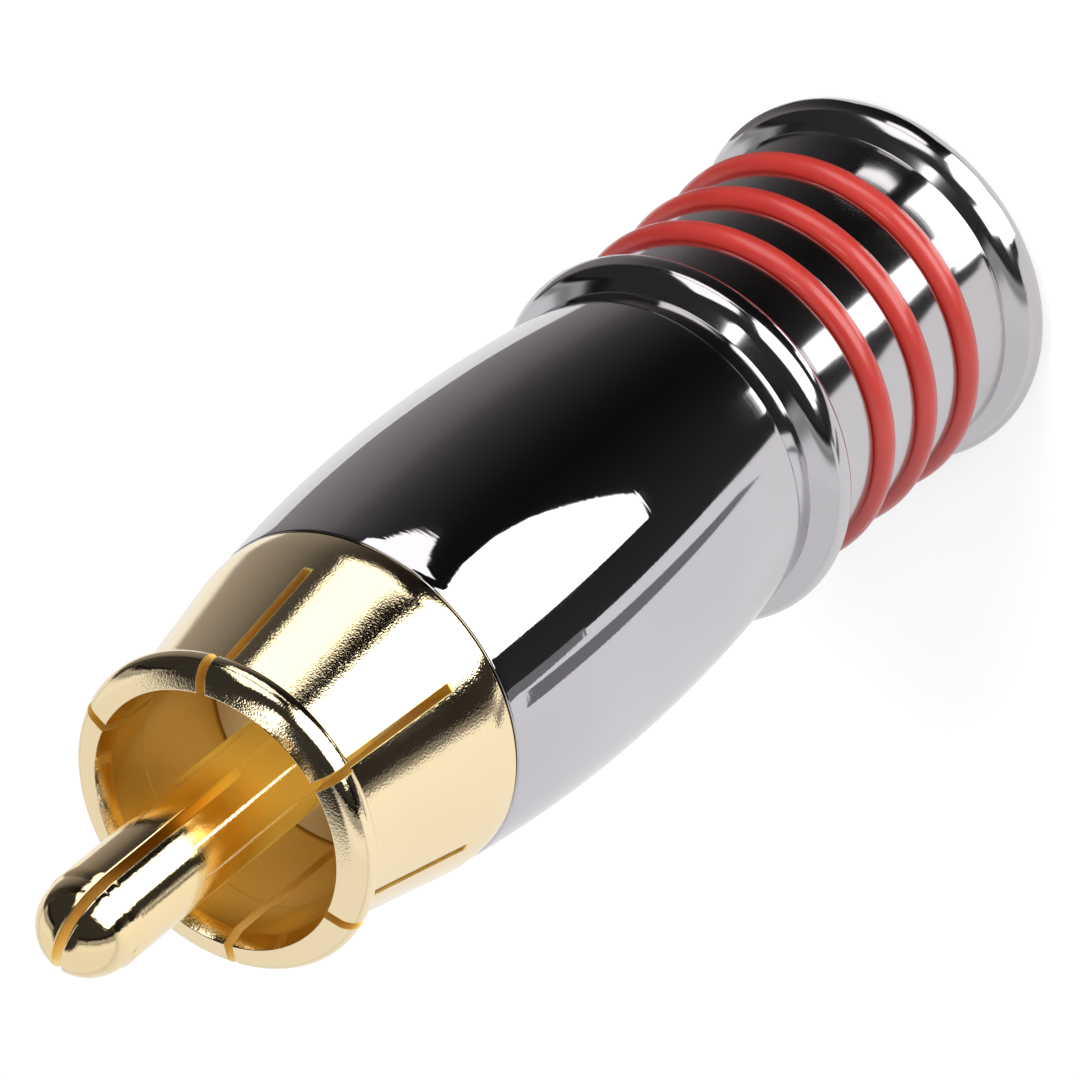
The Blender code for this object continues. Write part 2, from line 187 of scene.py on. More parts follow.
def inside_cup(tree, vector):
    """Full inside the cup and in its saw cuts, none on the outside. There the gold is duller and a deeper amber,
    painted light for the light gold throws on gold; inside the cup it also gets a faint painted amber glow.
    """
    apart = tree.nodes.new("ShaderNodeSeparateXYZ")
    tree.links.new(vector, apart.inputs[0])
    flat = calculate(tree, "SQRT", calculate(tree, "ADD", calculate(tree, "POWER", apart.outputs["X"], 2.0),
                                             calculate(tree, "POWER", apart.outputs["Y"], 2.0)))
    within = spread_mm(tree, flat, CUP_WALL, 1.0, 0.0)
    below = spread_mm(tree, apart.outputs["Z"], CUP_RIM, 1.0, 0.0)
    turn = calculate(tree, "ARCTAN2", apart.outputs["Y"], apart.outputs["X"])
    nearest = calculate(tree, "PINGPONG", turn, math.pi / 6)
    off_cut = calculate(tree, "MULTIPLY", flat, calculate(tree, "SINE", nearest))
    cut = spread_mm(tree, off_cut, SAW_WALL, 1.0, 0.0)
    above = spread_mm(tree, apart.outputs["Z"], SAW_FOOT, 0.0, 1.0)
    cut = calculate(tree, "MULTIPLY", cut, above)
    cup = calculate(tree, "MULTIPLY", within, below)
    # share: the strength of the painted amber glow inside the cup
    share = calculate(tree, "MULTIPLY", cup, 0.13)
    duller = calculate(tree, "MAXIMUM", share, calculate(tree, "MULTIPLY", cut, 0.40))
    return calculate(tree, "MAXIMUM", cup, cut), PAINTED_BOUNCE_GOLD, duller, share


GOLD = plated("gold_plate", (0.95, 0.775, 0.485), (0.96, 0.805, 0.525), 1.0, 0.12, 0.0036, (0.06, 0.10),
              inside_cup)


def fillet(corners, closed=True):
    """A profile from corners (radius, height, fillet): each fillet over 0 becomes a short arc."""
    points = []
    count = len(corners)
    for i, (r, z, size) in enumerate(corners):
        here = Vector((r, z))
        if size <= 0 or (not closed and i in (0, count - 1)):
            points.append((r, z))
            continue
        before = (Vector(corners[i - 1][:2]) - here)
        after = (Vector(corners[(i + 1) % count][:2]) - here)
        half = before.angle(after) / 2
        reach = min(size / math.tan(half), before.length * 0.49, after.length * 0.49)
        size = reach * math.tan(half)
        start, end = here + before.normalized() * reach, here + after.normalized() * reach
        middle = here + (before.normalized() + after.normalized()).normalized() * (size / math.sin(half))
        steps = max(2, round((math.pi - 2 * half) / 0.22))
        first, last = start - middle, end - middle
        turn = first.angle_signed(last)
        for k in range(steps + 1):
            angle = -turn * k / steps
            c, s = math.cos(angle), math.sin(angle)
            points.append((middle.x + first.x * c - first.y * s, middle.y + first.x * s + first.y * c))
    return points


def arc(r, z, size, start, end, steps):
    """Corners along a circular arc, angles in degrees from outward towards the tip."""
    found = []
    for i in range(steps + 1):
        angle = math.radians(start + (end - start) * i / steps)
        found.append((r + size * math.cos(angle), z + size * math.sin(angle), 0))
    return found


def node_tree(name, inputs):
    """An empty Geometry Nodes tree with named inputs, and its end nodes."""
    tree = bpy.data.node_groups.new(name, "GeometryNodeTree")
    tree.interface.new_socket("Geometry", in_out="INPUT", socket_type="NodeSocketGeometry")
    for label, kind in inputs:
        tree.interface.new_socket(label, in_out="INPUT", socket_type="NodeSocket" + kind)
    tree.interface.new_socket("Geometry", in_out="OUTPUT", socket_type="NodeSocketGeometry")
    return tree, tree.nodes.new("NodeGroupInput"), tree.nodes.new("NodeGroupOutput")


def end_tree(tree, result, given, made):
    """The tree's last two nodes: copies made real, and the piece's material."""
    real = tree.nodes.new("GeometryNodeRealizeInstances")
    paint = tree.nodes.new("GeometryNodeSetMaterial")
    tree.links.new(result, real.inputs[0])
    tree.links.new(real.outputs[0], paint.inputs["Geometry"])
    tree.links.new(given.outputs["Material"], paint.inputs["Material"])
    tree.links.new(paint.outputs[0], made.inputs[0])


# turning: the profile, drawn in the XZ plane, is swept round the axis
turning, given, made = node_tree("turned_on_a_lathe", [("Segments", "Int"), ("Centre Radius", "Float"),
                                                      ("Material", "Material")])
where = turning.nodes.new("GeometryNodeInputPosition")
apart = turning.nodes.new("ShaderNodeSeparateXYZ")
inward = turning.nodes.new("ShaderNodeMath")
inward.operation = "SUBTRACT"
upside = turning.nodes.new("ShaderNodeMath")
upside.operation = "MULTIPLY"
upside.inputs[1].default_value = -1.0
flat = turning.nodes.new("ShaderNodeCombineXYZ")
lay = turning.nodes.new("GeometryNodeSetPosition")
section = turning.nodes.new("GeometryNodeMeshToCurve")
circle = turning.nodes.new("GeometryNodeCurvePrimitiveCircle")
upright = turning.nodes.new("GeometryNodeSetCurveNormal")
upright.mode = "Z_UP"
sweep = turning.nodes.new("GeometryNodeCurveToMesh")
close = turning.nodes.new("GeometryNodeMergeByDistance")
close.inputs["Distance"].default_value = 0.0002 * MM
for source, target in (
        (where.outputs[0], apart.inputs[0]), (apart.outputs["X"], inward.inputs[0]),
        (given.outputs["Centre Radius"], inward.inputs[1]), (apart.outputs["Z"], upside.inputs[0]),
        (inward.outputs[0], flat.inputs["X"]), (upside.outputs[0], flat.inputs["Y"]),
        (given.outputs["Geometry"], lay.inputs["Geometry"]), (flat.outputs[0], lay.inputs["Position"]),
        (lay.outputs[0], section.inputs[0]), (given.outputs["Segments"], circle.inputs["Resolution"]),
        (given.outputs["Centre Radius"], circle.inputs["Radius"]), (circle.outputs[0], upright.inputs[0]),
        (upright.outputs[0], sweep.inputs["Curve"]), (section.outputs[0], sweep.inputs["Profile Curve"]),
        (sweep.outputs[0], close.inputs["Geometry"])):
    turning.links.new(source, target)
end_tree(turning, close.outputs[0], given, made)

# dividing: one piece is set a number of times round the axis
dividing, given, made = node_tree("divided_round_the_axis", [("Count", "Int"), ("Material", "Material")])
spots = dividing.nodes.new("GeometryNodePoints")
index = dividing.nodes.new("GeometryNodeInputIndex")
step = dividing.nodes.new("ShaderNodeMath")
step.operation = "DIVIDE"
step.inputs[0].default_value = 2 * math.pi
angle = dividing.nodes.new("ShaderNodeMath")
angle.operation = "MULTIPLY"
turn = dividing.nodes.new("ShaderNodeCombineXYZ")
copies = dividing.nodes.new("GeometryNodeInstanceOnPoints")
for source, target in (
        (given.outputs["Count"], spots.inputs["Count"]), (given.outputs["Count"], step.inputs[1]),
        (index.outputs[0], angle.inputs[0]), (step.outputs[0], angle.inputs[1]),
        (angle.outputs[0], turn.inputs["Z"]), (spots.outputs[0], copies.inputs["Points"]),
        (given.outputs["Geometry"], copies.inputs["Instance"]), (turn.outputs[0], copies.inputs["Rotation"])):
    dividing.links.new(source, target)
end_tree(dividing, copies.outputs[0], given, made)


def added(name, data):
    """A new object in the scene."""
    obj = bpy.data.objects.new(name, data)
    bpy.context.scene.collection.objects.link(obj)
    return obj


def mesh_of(bm, name, material=None):
    """The edited mesh as a plain one, with its material."""
    mesh = bpy.data.meshes.new(name)
    bm.to_mesh(mesh)
    bm.free()
    if material:
        mesh.materials.append(material)
    return mesh


def set_inputs(obj, tree, values):
    """Puts the tree on the object, with its named inputs set."""
    modifier = obj.modifiers.new("Shape", "NODES")
    modifier.node_group = tree
    for item in tree.interface.items_tree:
        if item.in_out == "INPUT" and item.name in values:
            modifier[item.identifier] = values[item.name]


def plain_mesh(obj, sharp=34.0):
    """The evaluated shape as a plain mesh, smooth but for its real edges."""
    graph = bpy.context.evaluated_depsgraph_get()
    mesh = bpy.data.meshes.new_from_object(obj.evaluated_get(graph))
    mesh.name = obj.name
    obj.modifiers.clear()
    obj.data = mesh
    mesh.shade_smooth()
    mesh.set_sharp_from_angle(angle=math.radians(sharp))
    return obj


def turned(name, profile, material, closed=True, segments=AROUND):
    """A piece turned from a profile (radius, height) in mm."""
    edges = [(i, i + 1) for i in range(len(profile) - 1)]
    if closed:
        edges.append((len(profile) - 1, 0))
    mesh = bpy.data.meshes.new(name)
    mesh.from_pydata([(r * MM, 0.0, z * MM) for r, z in profile], edges, [])
    mesh.materials.append(material)
    obj = added(name, mesh)
    set_inputs(obj, turning, {"Segments": segments, "Centre Radius": MM, "Material": material})
    return plain_mesh(obj)


def sawn_segment(name, profile, span, slit, across, edge, seat, material):
    """One finger between two saw cuts: its walls are flat and lie half a slit from the axis's plane.
    The edges above the height seat are broken."""
    bm = bmesh.new()
    columns = []
    sides = [2 * j / across - 1 for j in range(across + 1)]
    margin = 1.6 * edge / (profile[0][0] * span / 2)
    sides[1:1] = [-1 + margin]
    sides[-1:-1] = [1 - margin]
    for side in sides:
        column = []
        for r, z in profile:
            angle = side * (span / 2 - math.asin(min(1.0, slit / 2 / r)))
            column.append(bm.verts.new((r * MM * math.cos(angle), r * MM * math.sin(angle), z * MM)))
        columns.append(column)
    count = len(profile)
    for left, right in zip(columns, columns[1:]):
        for i in range(count):
            k = (i + 1) % count
            bm.faces.new((left[i], left[k], right[k], right[i]))
    walls = {bm.faces.new(columns[0]), bm.faces.new(columns[-1])}
    broken = []
    for wall in walls:
        for line in wall.edges:
            inner = len([f for f in line.link_faces if f in walls]) > 1
            if not inner and min(v.co.z for v in line.verts) > seat * MM:
                broken.append(line)
    bmesh.ops.bevel(bm, geom=broken, offset=edge * MM, offset_type="OFFSET", segments=3, profile=0.5,
                    affect="EDGES", clamp_overlap=True)
    bmesh.ops.remove_doubles(bm, verts=bm.verts, dist=0.0005 * MM)
    walls = [f for f in bm.faces if len(f.verts) > len(profile) / 2]
    bmesh.ops.inset_individual(bm, faces=walls, thickness=0.012 * MM)
    bmesh.ops.recalc_face_normals(bm, faces=bm.faces)
    return added(name, mesh_of(bm, name, material))


def joined(name, parts, sharp=34.0):
    """Several meshes as one object, with the first one's material."""
    bm = bmesh.new()
    for part in parts:
        bm.from_mesh(part.data)
    mesh = mesh_of(bm, name, parts[0].data.materials[0])
    for part in parts:
        bpy.data.objects.remove(part)
    mesh.shade_smooth()
    mesh.set_sharp_from_angle(angle=math.radians(sharp))
    return added(name, mesh)


COLLAR_TOP = 36.47
COLLAR_BOTTOM = 29.25
SLIT_END = 30.94
FINGERS = 6
SLIT = 0.30
LIP = 0.58
LIP_CENTRE = 4.60
CUP = 4.13
MOUTH = 4.05
RIM = 5.67
THREAD_CREST = 4.70
THREAD_ROOT = 4.36
THREAD_PITCH = 0.75
SHANK_END = 23.70
TAIL = 3.00
SHANK_BORE = 2.60
DISC_SEAT = 29.42
UNDERCUT = THREAD_ROOT - 0.08
TAIL_SHOULDER = 23.10
TAIL_END = 22.75
LIP_SLOPE_START = 78
LIP_SLOPE_STEP = 0.044
BROKEN_EDGE = 0.045
THREAD_TURNS = 5.2
THREAD_START = 24.15

cone_top = COLLAR_TOP - 2 * LIP
cone_bottom = COLLAR_BOTTOM + 0.62
slit_share = (cone_top - SLIT_END) / (cone_top - cone_bottom)
SLIT_END_RADIUS = LIP_CENTRE + (RIM - LIP_CENTRE) * slit_share
finger = [(CUP, SLIT_END, 0), (CUP, COLLAR_TOP - 2.15, 0.2), (MOUTH, COLLAR_TOP - 2.07, 0.2)]
# the lip's top rises a little from the roll's crown to the mouth
outer_edge = LIP_CENTRE + LIP * math.cos(math.radians(LIP_SLOPE_START))
edge_height = COLLAR_TOP - LIP + LIP * math.sin(math.radians(LIP_SLOPE_START))
finger += [(MOUTH, COLLAR_TOP - 0.50, 0.3), (outer_edge - 0.44, edge_height + 0.078, 0.04)]
for i in range(9, 0, -1):
    inward = LIP_SLOPE_STEP * i
    finger.append((outer_edge - inward, edge_height + 0.21 * inward - 0.075 * inward ** 2, 0))
finger += arc(LIP_CENTRE, COLLAR_TOP - LIP, LIP, LIP_SLOPE_START, -78, 32)
finger += [(LIP_CENTRE + 0.02, cone_top - 0.06, 0.05)]
finger += [(SLIT_END_RADIUS, SLIT_END, 0)]
finger_blank = sawn_segment("finger_blank", fillet(finger), 2 * math.pi / FINGERS, SLIT, 32, BROKEN_EDGE,
                            SLIT_END + 0.02, GOLD)
set_inputs(finger_blank, dividing, {"Count": FINGERS, "Material": GOLD})
fingers = plain_mesh(finger_blank, 40.0)
# the slits lie at 0, 60 and 120 degrees, so that the fingers' middles lie between them
fingers.data.transform(Matrix.Rotation(math.pi / FINGERS, 4, "Z"))

shank = [(CUP, SLIT_END, 0), (SLIT_END_RADIUS, SLIT_END, 0), (RIM, cone_bottom, 6.0)]
shank += [(RIM, COLLAR_BOTTOM + 0.05, 0.02), (RIM - 0.05, COLLAR_BOTTOM, 0)]
shank += [(UNDERCUT, COLLAR_BOTTOM, 0.05), (UNDERCUT, 28.50, 0.05)]
shank += [(THREAD_ROOT, 28.35, 0.05), (THREAD_ROOT, SHANK_END + 0.02, 0.05), (THREAD_ROOT - 0.05, SHANK_END, 0)]
shank += [(TAIL, SHANK_END, 0.03), (TAIL, TAIL_SHOULDER, 0.02), (TAIL + 0.28, TAIL_SHOULDER, 0.08)]
shank += [(TAIL + 0.26, 22.92, 0.08), (TAIL, TAIL_END, 0.05)]
shank += [(SHANK_BORE, TAIL_END, 0.05), (SHANK_BORE, DISC_SEAT, 0), (CUP, DISC_SEAT, 0)]
shank.reverse()
solid_ring = turned("solid_ring", fillet(shank), GOLD)

# thread: a ridge that follows a helix round the shank and runs out at both ends
threading, given, made = node_tree("screw_thread", [("Pitch", "Float"), ("Turns", "Float"), ("Core", "Float"),
                                                   ("Start Height", "Float"), ("Material", "Material")])
helix = threading.nodes.new("GeometryNodeCurveSpiral")
helix.inputs["Resolution"].default_value = 96
rise = threading.nodes.new("ShaderNodeMath")
rise.operation = "MULTIPLY"
lift = threading.nodes.new("GeometryNodeTransform")
lifted = threading.nodes.new("ShaderNodeCombineXYZ")
upright = threading.nodes.new("GeometryNodeSetCurveNormal")
upright.mode = "Z_UP"
along = threading.nodes.new("GeometryNodeSplineParameter")
ends = threading.nodes.new("ShaderNodeMath")
ends.operation = "PINGPONG"
ends.inputs[1].default_value = 0.5
runout = threading.nodes.new("ShaderNodeMath")
runout.operation = "MULTIPLY"
runout.use_clamp = True
runout.inputs[1].default_value = 18.0
fade = threading.nodes.new("GeometryNodeSetCurveRadius")
section = threading.nodes.new("GeometryNodeMeshToCurve")
sweep = threading.nodes.new("GeometryNodeCurveToMesh")
sweep.inputs["Fill Caps"].default_value = True
for source, target in (
        (given.outputs["Turns"], helix.inputs["Rotations"]), (given.outputs["Core"], helix.inputs["Start Radius"]),
        (given.outputs["Core"], helix.inputs["End Radius"]), (given.outputs["Pitch"], rise.inputs[0]),
        (given.outputs["Turns"], rise.inputs[1]), (rise.outputs[0], helix.inputs["Height"]),
        (given.outputs["Start Height"], lifted.inputs["Z"]), (helix.outputs[0], lift.inputs["Geometry"]),
        (lifted.outputs[0], lift.inputs["Translation"]), (lift.outputs[0], upright.inputs[0]),
        (along.outputs["Factor"], ends.inputs[0]), (ends.outputs[0], runout.inputs[0]),
        (upright.outputs[0], fade.inputs[0]), (runout.outputs[0], fade.inputs["Radius"]),
        (fade.outputs[0], sweep.inputs["Curve"]), (given.outputs["Geometry"], section.inputs[0]),
        (section.outputs[0], sweep.inputs["Profile Curve"])):
    threading.links.new(source, target)
if "Scale" in sweep.inputs:
    threading.links.new(runout.outputs[0], sweep.inputs["Scale"])
end_tree(threading, sweep.outputs[0], given, made)

ridge = [(-0.06, -0.33), (0.0, -0.31), (THREAD_CREST - THREAD_ROOT, -0.05), (THREAD_CREST - THREAD_ROOT, 0.05),
         (0.0, 0.31), (-0.06, 0.33)]
mesh = bpy.data.meshes.new("thread_blank")
mesh.from_pydata([(r * MM, -z * MM, 0.0) for r, z in reversed(ridge)],
                 [(i, (i + 1) % len(ridge)) for i in range(len(ridge))], [])
mesh.materials.append(GOLD)
thread = added("thread_blank", mesh)
set_inputs(thread, threading, {"Pitch": THREAD_PITCH * MM, "Turns": THREAD_TURNS, "Core": THREAD_ROOT * MM,
                               "Start Height": THREAD_START * MM, "Material": GOLD})
thread = plain_mesh(thread)

collar = joined("collar", [fingers, solid_ring, thread], 40.0)
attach(collar, "insert_body")
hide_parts("shield_contact")

# ---------------------------------------------------------------- centre pin
# Pin: gold-plated brass, turned with a domed nose, sawn along its middle so that its two halves
# spring, held by its flange between the insulators, with an open cup at its tail for the wire.
PIN_SLIT_TURN = 98.8
PIN_SAW_WALL = (0.152, 0.175)
# heights over which the painted amber glow on the pin fades out
DEEP_IN_CUP = (35.6, 37.4)


def inside_slit(tree, vector):
    """Full on the pin's two sawn walls, which turn a deeper amber: painted light for the light gold throws on gold.
    Low in the cup the pin gets a faint amber glow, painted light that stands in for the gold around it lighting it.
    """
    across = tree.nodes.new("ShaderNodeVectorMath")
    across.operation = "DOT_PRODUCT"
    turn = math.radians(PIN_SLIT_TURN)
    across.inputs[1].default_value = (-math.sin(turn), math.cos(turn), 0.0)
    tree.links.new(vector, across.inputs[0])
    mask = spread_mm(tree, calculate(tree, "ABSOLUTE", across.outputs["Value"]), PIN_SAW_WALL, 1.0, 0.0)
    apart = tree.nodes.new("ShaderNodeSeparateXYZ")
    tree.links.new(vector, apart.inputs[0])
    # painted light: a faint amber glow on the pin low in the cup
    painted_glow_in_cup = spread_mm(tree, apart.outputs["Z"], DEEP_IN_CUP, 1.0, 0.0)
    return mask, PAINTED_BOUNCE_GOLD, calculate(tree, "MULTIPLY", mask, 0.15), painted_glow_in_cup


PIN_GOLD = plated("pin_gold_plate", (0.95, 0.75, 0.43), (0.96, 0.78, 0.47), 0.8, 0.2, 0.0028, (0.06, 0.09),
                  inside_slit)

PIN = 1.60
PIN_TIP = 44.30
NOSE = 1.62
NOSE_RADIUS = PIN - 0.05
PIN_SLIT_END = 35.87
PIN_EDGE = 0.05
PIN_FLANGE = PIN + 0.45
PIN_FLANGE_TOP = 27.55
PIN_FLANGE_BOTTOM = 26.90
SOLDER_CUP = 1.25
SOLDER_BORE = 0.85
PIN_END = 19.65

nose_bottom = PIN_TIP - NOSE
half_slit = SLIT / 2


def slice_outline(y, inset):
    """The outline (x, z) of the pin cut at the distance y from its middle, drawn in by inset."""
    points = []
    flat = math.sqrt(max(PIN ** 2 - y ** 2, 0.0))
    for z in (PIN_SLIT_END, 36.6, 37.4, 38.2, 39.0, 39.8, 40.6, 41.4, 42.2, nose_bottom - 0.12):
        points.append((max(flat - inset, 0.0), z))
    reach = math.sqrt(max(NOSE_RADIUS ** 2 - y ** 2, 0.0))
    for i in range(29):
        angle = math.radians(90 * i / 28)
        r = max(reach - inset, 0.0)
        height = NOSE / NOSE_RADIUS * reach - inset
        points.append((r * math.cos(angle), nose_bottom + max(height, 0.0) * math.sin(angle)))
    return points + [(-x, z) for x, z in reversed(points[:-1])]


# the prong in slices from its sawn wall outward: first the wall's rounded edge, then the round
levels = [(half_slit, PIN_EDGE), (half_slit + PIN_EDGE * 0.134, PIN_EDGE * 0.5)]
levels += [(half_slit + PIN_EDGE * 0.5, PIN_EDGE * 0.134), (half_slit + PIN_EDGE, 0.0)]
levels += [(half_slit + PIN_EDGE * 1.3, 0.0)]
start = math.asin((half_slit + PIN_EDGE * 1.3) / PIN)
for i in range(1, 29):
    levels.append((PIN * math.sin(start + (math.pi / 2 - start) * i / 28), 0.0))
bm = bmesh.new()
rows = []
for y, inset in levels:
    rows.append([bm.verts.new((x * MM, y * MM, z * MM)) for x, z in slice_outline(y, inset)])
for low, high in zip(rows, rows[1:]):
    for i in range(len(low) - 1):
        bm.faces.new((low[i], low[i + 1], high[i + 1], high[i]))
foot = [row[0] for row in rows] + [row[-1] for row in reversed(rows)]
bm.faces.new(foot)
wall = bm.faces.new(list(reversed(rows[0])))
bmesh.ops.remove_doubles(bm, verts=bm.verts, dist=0.0008 * MM)
bmesh.ops.inset_individual(bm, faces=[wall], thickness=0.012 * MM)
bmesh.ops.recalc_face_normals(bm, faces=bm.faces)
prong_blank = added("prong_blank", mesh_of(bm, "prong_blank", PIN_GOLD))
set_inputs(prong_blank, dividing, {"Count": 2, "Material": PIN_GOLD})
prongs = plain_mesh(prong_blank, 40.0)
prongs.data.transform(Matrix.Rotation(math.radians(PIN_SLIT_TURN), 4, "Z"))

stem = [(0.0, PIN_SLIT_END, 0), (PIN, PIN_SLIT_END, 0), (PIN, PIN_FLANGE_TOP, 0.03)]
stem += [(PIN_FLANGE, PIN_FLANGE_TOP, 0.06), (PIN_FLANGE, PIN_FLANGE_BOTTOM, 0.06)]
stem += [(SOLDER_CUP, PIN_FLANGE_BOTTOM, 0.04), (SOLDER_CUP, PIN_END, 0.06), (SOLDER_BORE, PIN_END, 0.05)]
stem += [(SOLDER_BORE, 23.05, 0.05), (0.0, 23.475, 0)]
stem.reverse()
pin_stem = turned("pin_stem", fillet(stem, False), PIN_GOLD, closed=False, segments=96)
bm = bmesh.new()
bmesh.ops.create_cube(bm, size=1.0)
bmesh.ops.scale(bm, vec=(2.5 * MM, 5.0 * MM, 4.4 * MM), verts=bm.verts)
bmesh.ops.translate(bm, vec=(-1.35 * MM, 0.0, PIN_END * MM), verts=bm.verts)
cutter = added("cup_window", mesh_of(bm, "cup_window"))
cut = pin_stem.modifiers.new("Window", "BOOLEAN")
cut.operation = "DIFFERENCE"
cut.solver = "EXACT"
cut.object = cutter
pin_stem = plain_mesh(pin_stem)
bpy.data.objects.remove(cutter)

centre_pin = joined("split_pin", [prongs, pin_stem], 40.0)
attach(centre_pin, "insert_body")
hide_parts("centre_pin")

# ---------------------------------------------------------------- insulators
# Front disc and rear bush: ivory PTFE, turned, pressed into the shank from each end of the pin's
# flange. The disc closes the bottom of the cup.
moulded, given, made = shader_group(
    "plain_plastic",
    [("Vector", "Vector", None), ("Turning", "Float", 1.0)],
    [("Height", "Float"), ("Shine", "Float"), ("Tone", "Float")])
skin = noise(moulded, given.outputs["Vector"], 9000.0, 3.0)
marks = noise(moulded, scaled(moulded, given.outputs["Vector"], (1500.0, 1500.0, 7000.0)), 1.0, 2.0)
total = calculate(moulded, "ADD", skin.outputs[0],
                  calculate(moulded, "MULTIPLY", marks.outputs[0], given.outputs["Turning"]))
moulded.links.new(total, made.inputs["Height"])
moulded.links.new(noise(moulded, given.outputs["Vector"], 900.0, 3.0).outputs[0], made.inputs["Shine"])
moulded.links.new(noise(moulded, given.outputs["Vector"], 300.0, 2.0).outputs[0], made.inputs["Tone"])


def soft_finish(name, deep, pale, turning, bump, shine, coat=0.0):
    """A plastic or rubber, with its skin and turning marks."""
    material, _, shader, _ = finished(name, moulded, {"Turning": turning}, deep, pale, bump, shine)
    shader.inputs["Specular IOR Level"].default_value = 0.5
    shader.inputs["Coat Weight"].default_value = coat
    shader.inputs["Coat Roughness"].default_value = 0.16
    return material


IVORY = soft_finish("ivory_ptfe", (0.67, 0.50, 0.27), (0.73, 0.56, 0.32), 1.5, 0.002, (0.40, 0.52))
DISC = CUP - 0.05
DISC_TOP = 30.77
DISC_BOTTOM = 29.47
SPIGOT = 2.55
SPIGOT_BOTTOM = 27.60
DISC_BORE = 1.65
BUSH_TOP = 26.85
BUSH_BOTTOM = 24.05
BUSH_BORE = 1.30

disc = [(DISC_BORE, DISC_TOP, 0.06), (DISC, DISC_TOP, 0.08), (DISC, DISC_BOTTOM, 0.02)]
disc += [(SPIGOT, DISC_BOTTOM, 0.04), (SPIGOT, SPIGOT_BOTTOM, 0.05), (DISC_BORE, SPIGOT_BOTTOM, 0.03)]
front_disc = turned("cup_floor_disc", fillet(disc[::-1]), IVORY)
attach(front_disc, "insert_body")
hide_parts("front_insulator")

bush = [(BUSH_BORE, BUSH_TOP, 0.03), (SPIGOT, BUSH_TOP, 0.06), (SPIGOT, BUSH_BOTTOM, 0.08)]
bush += [(BUSH_BORE, BUSH_BOTTOM, 0.05)]
rear_bush = turned("rear_bush", fillet(bush[::-1]), IVORY, segments=128)
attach(rear_bush, "insert_body")
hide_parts("rear_insulator")

# ---------------------------------------------------------------- earth lug
# Lug: one stamping of tinned brass. Its ring is held under the swaged tail, its arm carries the
# cable's screen in a hole, and its open band is squeezed round the cable.
TIN = plated("tinned_brass", (0.66, 0.64, 0.58), (0.74, 0.72, 0.67), 1.4, 0.3, 0.0025, (0.22, 0.34))
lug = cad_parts["earth_lug"]
for place in lug.material_slots:
    place.material = TIN

# ---------------------------------------------------------------- insulating sleeve
# Sleeve: a thin extruded tube of clear-grey plastic that lies loose between the barrel's inner step
# and the shank, and keeps the lug off the barrel.
SLEEVE = soft_finish("sleeve_plastic", (0.50, 0.52, 0.52), (0.58, 0.60, 0.60), 0.4, 0.001, (0.25, 0.36))
SLEEVE_BORE = 4.20
SLEEVE_RADIUS = 4.65
SLEEVE_TOP = 23.65
SLEEVE_BOTTOM = 12.80

tube = [(SLEEVE_BORE, SLEEVE_TOP, 0.06), (SLEEVE_RADIUS, SLEEVE_TOP, 0.10)]
tube += [(SLEEVE_RADIUS, SLEEVE_BOTTOM, 0.10), (SLEEVE_BORE, SLEEVE_BOTTOM, 0.06)]
sleeve = turned("inner_sleeve", fillet(tube[::-1]), SLEEVE)
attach(sleeve, "sleeve_body")
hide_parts("insulating_sleeve")

# ---------------------------------------------------------------- barrel
# Barrel: one turned and bored brass shell, polished and plated in dark chrome, with a swollen
# front, a shoulder bead, three ring grooves and a rounded flange round the cable's entry.
DULLER_BELOW = (10.0, 19.0)


def rear_half(tree, vector):
    """None on the polished swell, and full on the tube and flange, which are a little duller."""
    apart = tree.nodes.new("ShaderNodeSeparateXYZ")
    tree.links.new(vector, apart.inputs[0])
    mask = spread_mm(tree, apart.outputs["Z"], DULLER_BELOW, 1.0, 0.0)
    return mask, (0.575, 0.56, 0.58), calculate(tree, "MULTIPLY", mask, 0.10), None


CHROME = plated("dark_chrome", (0.56, 0.545, 0.575), (0.60, 0.585, 0.615), 0.12, 1.0, 0.0007, (0.02, 0.045),
                rear_half)
BARREL_TOP = 29.20
FRONT = 5.70
FRONT_ROUND = 0.06
WIDEST = 6.19
WIDEST_HEIGHT = 22.05
CREASE = 13.70
CREASE_RADIUS = 5.61
NECK = 5.46
BEAD_TOP = 12.75
BEAD_HALF = 0.75
BEAD_CENTRE = 5.485
TUBE = 5.55
GROOVE = 4.98
GROOVE_HALF = 0.55
RING_HEIGHTS = (3.975, 6.425, 8.875)
FLANGE_HALF = 0.80
FLANGE_CENTRE = 5.44
BORE = 4.75
REAR_CAVITY = 4.26
CAVITY_FLOOR = 3.0
CABLE_BORE = 3.40
ENTRY_ROUND = 0.40
SHOULDER = 63.0


def cone_meets(r, centre, height, half):
    """The height at which the cone on a round shoulder, tangent to it, comes in to the radius r."""
    angle = math.radians(SHOULDER)
    return height + half * math.sin(angle) + (centre + half * math.cos(angle) - r) / math.tan(angle)


shell = [(BORE + 0.22, BARREL_TOP, 0.02)]
shell += arc(FRONT - FRONT_ROUND, BARREL_TOP - FRONT_ROUND, FRONT_ROUND, 90, 0, 3)
for i in range(1, 81):
    z = BARREL_TOP - FRONT_ROUND + (CREASE - BARREL_TOP + FRONT_ROUND) * i / 80
    end, edge = (BARREL_TOP, FRONT) if z > WIDEST_HEIGHT else (CREASE, CREASE_RADIUS)
    share = (z - WIDEST_HEIGHT) / (end - WIDEST_HEIGHT)
    shell.append((WIDEST - (WIDEST - edge) * share ** 2, z, 0.03 if i == 80 else 0))
bead_end = math.degrees(math.acos((TUBE - BEAD_CENTRE) / BEAD_HALF))
neck_end = cone_meets(NECK, BEAD_CENTRE, BEAD_TOP - BEAD_HALF, BEAD_HALF)
shell += [(NECK, CREASE - 0.03, 0.02), (NECK, neck_end, 0.05)]
